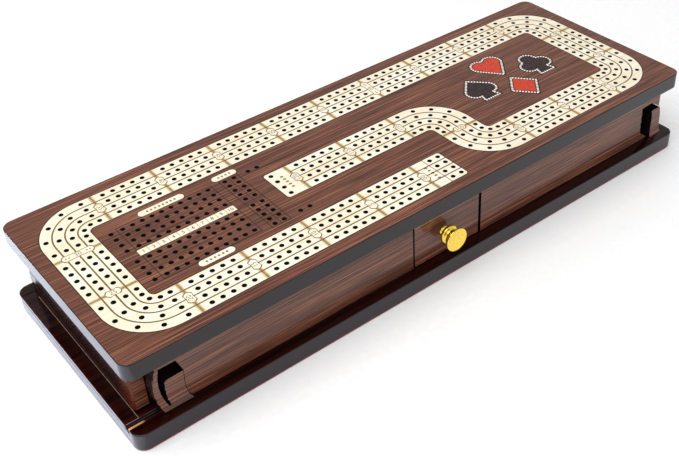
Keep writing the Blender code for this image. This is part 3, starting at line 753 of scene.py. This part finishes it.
def make_track():
    outline = band_outline()
    holes = [hole_ring(p) for p in track_holes()]
    bm = pierced_slab([outline, *holes], TOP - TRACK_DEPTH, TOP - INLAY_DROP)
    # A near-black sheet at the holes' depth, painted shade standing in for the holes' floors.
    face(bm, outline, TOP - HOLE_DEPTH, 1)
    piece("track_inlay_fine", bm, "maple", replaces=["track_inlay"], extra=["inside"])

    bm = bmesh.new()
    (start, heading), (end, _) = STOPS[0], STOPS[-1]
    for offset in (-LANE, 0.0, LANE):
        aside = turn_left(heading) * offset
        first = [start - heading * START_END + aside, start + aside]
        strip(bm, [*first, *band_side(offset), end + Vector((0.0, -offset))], LANE_LINE, TOP - BAR_DROP)
    middle, half = Vector((START_LINE, -TRACK_Y)), Vector((0.0, BAND_HALF))
    strip(bm, [middle + half, middle - half], CROSS_LINE, TOP - BAR_DROP)
    piece("track_lines", bm, "burnt")

    bars, badges = bmesh.new(), bmesh.new()
    for k, (point, heading) in enumerate(STOPS):
        number = GROUP * k
        across = turn_left(heading)
        length = LONG_BADGE if number in LONG_BADGES else BADGE_LENGTH
        for side in (1, -1):
            reach = [point + across * side * length * BAR_START,
                     point + across * side * (BAND_HALF - BAR_SHORT)]
            for width, drop, index in BAR_LAYERS:
                strip(bars, reach, width, TOP - drop, index)
        face(badges, cartouche(point, heading, length, BADGE_WIDTH), TOP - RIM_DROP, 1)
        inner = cartouche(point, heading, length - 2.2 * BADGE_RIM, BADGE_WIDTH - 2 * BADGE_RIM)
        face(badges, inner, TOP - BADGE_DROP, 0)
        text = "00" if number == 0 else str(number)
        add_text(badges, text, NUMERAL_SIZE, point, heading, TOP - NUMERAL_DROP, 2)
        if number in LONG_BADGES:
            for side in (1, -1):
                for reach in LONG_BADGE_DOTS:
                    lozenge(badges, point + across * side * reach, across, DOT, DOT, TOP - NUMERAL_DROP, 2)
    piece("badge_bars", bars, "bar_soft", extra=["bar", "burnt"])
    piece("badges", badges, "maple", extra=["burnt", "numeral"])

    marks = bmesh.new()
    for step in rows(0.0, END_MARKS, END_MARK_PITCH):
        for place in ((END_MARK_X, -TRACK_Y + step), (STOPS[-1][0].x - END_MARK_X, step)):
            lozenge(marks, Vector(place), Vector((-1.0, 0.0)), *END_MARK, TOP - BAR_DROP)
    piece("start_and_finish_marks", marks, "numeral")


# Score fields.

TALLY_HOLES = ((-73.7, 23.9), (-67.5, 23.9), (-72.2, -27.6), (-65.9, -27.6))
# Columns, then the middles, count and pitch of the rows, all in millimetres.
HOLE_FIELDS = (
    ([-163.0] + [-155.9 + 6.05 * k for k in range(10)], (14.1, -16.0), 4, 6.2),
    ([-89.7, -83.5], (12.9, -16.8), 5, 5.5),
)
# Middle and size of each ruled frame, and the ends of each ruled line, in millimetres.
FRAMES = (((-128.6, 13.95), (60.6, 24.3)), ((-128.6, -15.88), (60.6, 24.4)), ((-86.5, -2.0), (12.4, 56.8)))
RULES = (((-86.5, 26.4), (-86.5, -30.4)), ((-92.7, -1.4), (-80.3, -1.4)), ((-92.7, -2.4), (-80.3, -2.4)))
FRAME_WIDTH = 0.4 * MM
RULE_WIDTH = 0.3 * MM


def score_holes():
    holes = [Vector(place) * MM for place in TALLY_HOLES]
    for columns, middles, count, pitch in HOLE_FIELDS:
        for middle in middles:
            holes += [Vector((x, y)) * MM for x in columns for y in rows(middle, count, pitch)]
    return holes


def rule_frame(bm, centre, size, z):
    x, y = Vector(centre) * MM
    dx, dy = Vector(size) * MM / 2
    corners = [Vector((x + sx * dx, y + sy * dy)) for sx, sy in ((1, 1), (-1, 1), (-1, -1), (1, -1))]
    for a, b in zip(corners, corners[1:] + corners[:1]):
        strip(bm, [a, b], FRAME_WIDTH, z)


PLATES = ("games_won_plate", "corner_plate", "skunks_plate")
PLATE_MARK = (1.7 * MM, 2.2 * MM)
PLATE_MARK_ROOM = 3.1 * MM
PLATE_MARK_PITCH = 2.5 * MM
STRIP_RADIUS = 0.6 * MM
STRIP_CELLS = 10
STRIP_NUMERAL = 3.6 * MM
CELL_LINE = 0.25 * MM


def plate_outline(name, margin=0.0):
    """A light plate's outline moved outward by a margin; all but the number strip have round ends."""
    low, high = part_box(name)
    length, width = high.x - low.x, high.y - low.y
    radius = width / 2 if name in PLATES else STRIP_RADIUS
    centre = ((low.x + high.x) / 2, (low.y + high.y) / 2)
    return rounded_rectangle(length + 2 * margin, width + 2 * margin, radius + margin, centre)


def make_plates():
    for name in ("number_strip", *PLATES):
        bm = bmesh.new()
        outline = plate_outline(name)
        loft(bm, [outline, outline], [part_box(name)[0].z, TOP - INLAY_DROP])
        piece(name + "_fine", bm, "maple", replaces=[name])

    marks = bmesh.new()
    for name in PLATES:
        low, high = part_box(name)
        count = round((high.x - low.x) / PLATE_MARK_ROOM) - 1
        for x in rows((low.x + high.x) / 2, count, PLATE_MARK_PITCH):
            place = Vector((x, (low.y + high.y) / 2))
            lozenge(marks, place, Vector((1.0, 0.0)), *PLATE_MARK, TOP - LINE_DROP)
    low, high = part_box("number_strip")
    cell = (high.x - low.x) / STRIP_CELLS
    for k in range(STRIP_CELLS):
        place = Vector((low.x + cell * (k + 0.5), (low.y + high.y) / 2))
        add_text(marks, str(k + 1), STRIP_NUMERAL, place, Vector((0.0, 1.0)), TOP - LINE_DROP, 1)
        if k:
            x = low.x + cell * k
            strip(marks, [Vector((x, low.y)), Vector((x, high.y))], CELL_LINE, TOP - LINE_DROP)
    piece("plate_marks", marks, "numeral", extra=["ink"])


# The wenge top with its holes, and the lacquered edge below it.

EDGE_INSET = 0.45 * MM
EDGE_ARRIS = 0.35 * MM
SEAM = 0.02 * MM
# Inner and outer offset of the dark line round the track and round each suit.
TRACK_BORDER = (-0.05 * MM, 0.5 * MM)
SUIT_BORDER = (-0.1 * MM, 0.5 * MM)


def grown(outline, distance):
    """An outline offset outward."""
    area = sum(a.x * b.y - a.y * b.x for a, b in zip(outline, outline[1:] + outline[:1]))
    turn = 1 if area > 0 else -1
    result = []
    for i, here in enumerate(outline):
        before = (here - outline[i - 1]).normalized()
        after = (outline[(i + 1) % len(outline)] - here).normalized()
        out = Vector((before.y + after.y, -before.x - after.x)).normalized() * turn
        result.append(here + out * distance)
    return result


def border(bm, outline, offsets, z):
    """A flat dark line between two offsets of an outline."""
    loops = [[bm.verts.new((*p, z)) for p in grown(outline, distance)] for distance in offsets]
    count = len(outline)
    for i in range(count):
        j = (i + 1) % count
        bm.faces.new((loops[0][i], loops[0][j], loops[1][j], loops[1][i]))


def make_top():
    low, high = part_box("top_board")
    rim = inset_rectangle(low, high, EDGE_INSET)
    outlines = [rim, grown(band_outline(), GAP)]
    outlines += [hole_ring(p) for p in score_holes()]
    outlines += [suit_outline(name, 2 * GAP + ROPE_WIDTH) for name in SUITS]
    outlines += [plate_outline(name, GAP) for name in (*PLATES, "number_strip")]
    bm = pierced_slab(outlines, TOP - VENEER, TOP - INLAY_DROP)
    # A near-black sheet under the veneer, painted shade standing in for the floors of its holes.
    face(bm, rim, TOP - VENEER, 1)
    piece("top_veneer", bm, "top", replaces=["top_board"], extra=["inside"])

    bm = rounded_slab(low, high, EDGE_ARRIS)
    cap = [f for f in bm.faces if min(v.co.z for v in f.verts) > TOP - SEAM]
    bmesh.ops.delete(bm, geom=cap, context="FACES_ONLY")
    outer = inset_rectangle(low, high, EDGE_ARRIS)
    loft(bm, [outer, rim], [TOP, TOP - VENEER], caps=False)
    for side in bm.faces:
        side.normal_update()
        if side.normal.z > 0.2 or max(v.co.z for v in side.verts) > TOP - SEAM:
            side.material_index = 1
    piece("top_edge", bm, "edge", smooth=WALL_ANGLE, extra=["inside"])

    # Flat near-black strips: painted shade for the score grooves, and the dark seam lines round the track
    # and suits.
    grooves = bmesh.new()
    z = TOP - BAR_DROP
    for centre, size in FRAMES:
        rule_frame(grooves, centre, size, z)
    for ends in RULES:
        strip(grooves, [Vector(end) * MM for end in ends], RULE_WIDTH, z)
    border(grooves, band_outline(), TRACK_BORDER, z)
    for name in SUITS:
        border(grooves, suit_outline(name, GAP + ROPE_WIDTH), SUIT_BORDER, z)
    piece("score_grooves", grooves, "inside")


# Base, felt, tray, drawer front and knob.

OVERSHOOT = 1.0 * MM
BASE_ARRIS = 0.7 * MM
FELT_ARRIS = 0.2 * MM


def solid_slab(name, arris):
    """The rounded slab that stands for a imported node, its normals facing out."""
    bm = rounded_slab(*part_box(name), arris)
    bmesh.ops.recalc_face_normals(bm, faces=bm.faces)
    return bm


def make_base():
    """The base with the tray's channel cut in it, and the felt below."""
    base = piece("base_board_fine", solid_slab("base_board", BASE_ARRIS), "base",
                 replaces=["base_board"], smooth=WALL_ANGLE)
    low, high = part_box("base_board")
    floor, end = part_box("tray_bottom")
    near, far = low.x - OVERSHOOT, end.x + GAP
    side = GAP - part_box("front_guide_rail")[0].y
    corners = [Vector(p) for p in ((near, -side), (far, -side), (far, side), (near, side))]
    bm = bmesh.new()
    loft(bm, [corners, corners], [floor.z - GAP, high.z + OVERSHOOT])
    bmesh.ops.recalc_face_normals(bm, faces=bm.faces)
    cutter = link_mesh("channel_cutter", bm)
    cut = base.modifiers.new("channel", "BOOLEAN")
    cut.operation = "DIFFERENCE"
    cut.solver = "EXACT"
    cut.object = cutter
    bpy.context.view_layer.update()
    graph = bpy.context.evaluated_depsgraph_get()
    result = bpy.data.meshes.new_from_object(base.evaluated_get(graph))
    result.set_sharp_from_angle(angle=math.radians(WALL_ANGLE))
    base.modifiers.clear()
    base.data = result
    bpy.data.objects.remove(cutter)
    piece("felt_fine", solid_slab("felt_pad", FELT_ARRIS), "felt", replaces=["felt_pad"],
          smooth=WALL_ANGLE)


TRAY_LINE_WIDTH = 0.35 * MM
TRAY_LINE_RISE = 0.02 * MM
TRAY_LINE_OUT = 0.4 * MM
TRAY_LINE_ENDS = (58.9 * MM, -61.0 * MM)
TRAY_LINE_SHORT = 0.8 * MM


def make_tray_line():
    """The fine light line inlaid along the foot of the end panel and out to the ledge's edge."""
    panel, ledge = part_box("tray_front")[0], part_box("tray_bottom")[0]
    start, corner = (Vector((panel.x - TRAY_LINE_OUT, y)) for y in TRAY_LINE_ENDS)
    bm = bmesh.new()
    for line in ([start, corner], [corner, Vector((ledge.x + TRAY_LINE_SHORT, corner.y))]):
        strip(bm, line, TRAY_LINE_WIDTH, BASE_TOP + TRAY_LINE_RISE)
    piece("tray_line", bm, "tray_line", "card_tray")


DRAWER_ARRIS = 0.4 * MM


def make_drawer_front():
    """The drawer's face with its edges eased and stained, so the joints round it read dark."""
    low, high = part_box("drawer_front")
    bm = bmesh.new()
    bmesh.ops.create_cube(bm, size=1.0)
    for vert in bm.verts:
        vert.co = Vector([(a + b) / 2 + (b - a) * c for a, b, c in zip(low, high, vert.co)])
    bmesh.ops.bevel(bm, geom=bm.edges[:], offset=DRAWER_ARRIS, segments=2, profile=0.5, affect="EDGES")
    for side in bm.faces:
        side.normal_update()
        side.material_index = 0 if abs(side.normal.y) > 0.99 else 1
    piece("drawer_front_fine", bm, "drawer", "drawer", ["drawer_front"], extra=["edge"])


# Radius and distance from the drawer's face, in millimetres.
KNOB_PROFILE = (
    (3.6, 0.3), (3.65, 0.8), (3.5, 1.2), (3.1, 1.6), (2.9, 2.1), (2.9, 2.8), (3.3, 3.3), (4.8, 3.7),
    (5.9, 4.0), (6.2, 4.5), (6.2, 5.4), (6.0, 6.0), (5.4, 6.4), (4.6, 6.8), (4.3, 7.6), (4.4, 8.8),
    (4.9, 9.8), (6.2, 10.6), (7.3, 11.0), (7.65, 11.4), (7.65, 11.9), (7.45, 12.25), (7.1, 12.39),
    (6.7, 12.30), (6.3, 12.18), (3.0, 12.10), (0.0, 12.08),
)
KNOB_STEPS = 64


def make_knob():
    low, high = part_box("knob")
    centre_x, centre_z = (low.x + high.x) / 2, (low.z + high.z) / 2
    face_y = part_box("drawer_front")[0].y
    bm = bmesh.new()
    rings = []
    for radius, reach in KNOB_PROFILE:
        ring = []
        for k in range(KNOB_STEPS if radius else 1):
            angle = 2 * math.pi * k / KNOB_STEPS
            ring.append(bm.verts.new((centre_x + radius * MM * math.cos(angle), face_y - reach * MM,
                                      centre_z + radius * MM * math.sin(angle))))
        rings.append(ring)
    for a, b in zip(rings, rings[1:]):
        for k in range(KNOB_STEPS):
            turns = ((a, k), (a, k + 1), (b, k + 1), (b, k))
            bm.faces.new(list(dict.fromkeys(ring[i % len(ring)] for ring, i in turns)))
    bm.faces.new(rings[0][::-1])
    bmesh.ops.recalc_face_normals(bm, faces=bm.faces)
    piece("knob_fine", bm, "brass", "drawer", ["knob"], smooth=KNOB_ANGLE)


def dress_frame():
    """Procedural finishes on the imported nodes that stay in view."""
    looks = {
        "front": ("front_left_panel", "front_right_panel", "rear_panel", "front_left_bracket",
                  "front_right_bracket", "rear_left_bracket", "rear_right_bracket"),
        "end": ("right_end_panel", "tray_front"),
        "base": ("tray_bottom",),
        "rail": ("front_guide_rail",),
        # The tray's sides and back take near-black painted shade.
        "tray_shade_dark": ("tray_front_side", "tray_rear_side", "tray_back"),
        "light": ("left_partition", "right_partition", "left_drawer_runner", "right_drawer_runner",
                  "drawer_left_side", "drawer_right_side", "drawer_back", "drawer_bottom"),
        "steel": ("knob_screw",),
    }
    for key, names in looks.items():
        for name in names:
            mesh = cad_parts[name].data
            mesh.materials.clear()
            mesh.materials.append(finishes[key])


# Camera, floor and light.

FLOOR_REACH = 6.0
BEAM_X = -0.3075
BEAM_Y = 0.03


def make_stage():
    """A wide pale floor under an even white sky."""
    bm = bmesh.new()
    face(bm, [(sx * FLOOR_REACH, sy * FLOOR_REACH) for sx, sy in ((-1, -1), (1, -1), (1, 1), (-1, 1))], 0.0)
    floor = link_mesh("floor", bm)
    floor.data.materials.append(finishes["floor"])

    world = bpy.data.worlds.new("studio")
    world.use_nodes = True
    sky = world.node_tree.nodes["Background"].inputs
    sky["Color"].default_value = (1.0, 1.0, 1.0, 1.0)
    sky["Strength"].default_value = 0.72
    bpy.context.scene.world = world
    bpy.context.scene.view_settings.view_transform = "Standard"


def add_light(name, place, target, size, power, tint=(1.0, 1.0, 1.0)):
    data = bpy.data.lights.new(name, "AREA")
    data.shape = "RECTANGLE"
    data.size, data.size_y = size
    data.energy = power
    data.color = tint
    light = link(name, data)
    light.location = place
    light.rotation_euler = (Vector(target) - Vector(place)).to_track_quat("-Z", "Y").to_euler()
    return light


def make_lights():
    """A soft overhead key, and a narrow cool beam on the floor beside the left end."""
    add_light("key", (-0.45, -0.1, 0.95), (-0.05, 0.0, 0.0), (0.9, 0.7), 6.0)
    beam = add_light("left_floor", (BEAM_X, BEAM_Y, 0.25), (BEAM_X, BEAM_Y, 0.0), (0.20, 0.30), 0.2,
                     (0.68, 0.75, 1.0))
    beam.data.spread = math.radians(2.0)
    beam.visible_camera = False


def make_camera():
    data = bpy.data.cameras.new("camera")
    data.sensor_width = 36.0
    data.lens = 54.38
    data.shift_x = -0.0714
    data.shift_y = -0.0339
    data.clip_start = 0.01
    camera = link("camera", data)
    camera.location = (-0.3151, -0.4149, 0.4078)
    camera.rotation_euler = (math.radians(52.636), math.radians(1.533), math.radians(-39.389))
    bpy.context.scene.camera = camera


make_camera()
make_stage()
make_lights()
dress_frame()
make_top()
make_track()
make_suits()
make_plates()
make_base()
make_tray_line()
make_drawer_front()
make_knob()
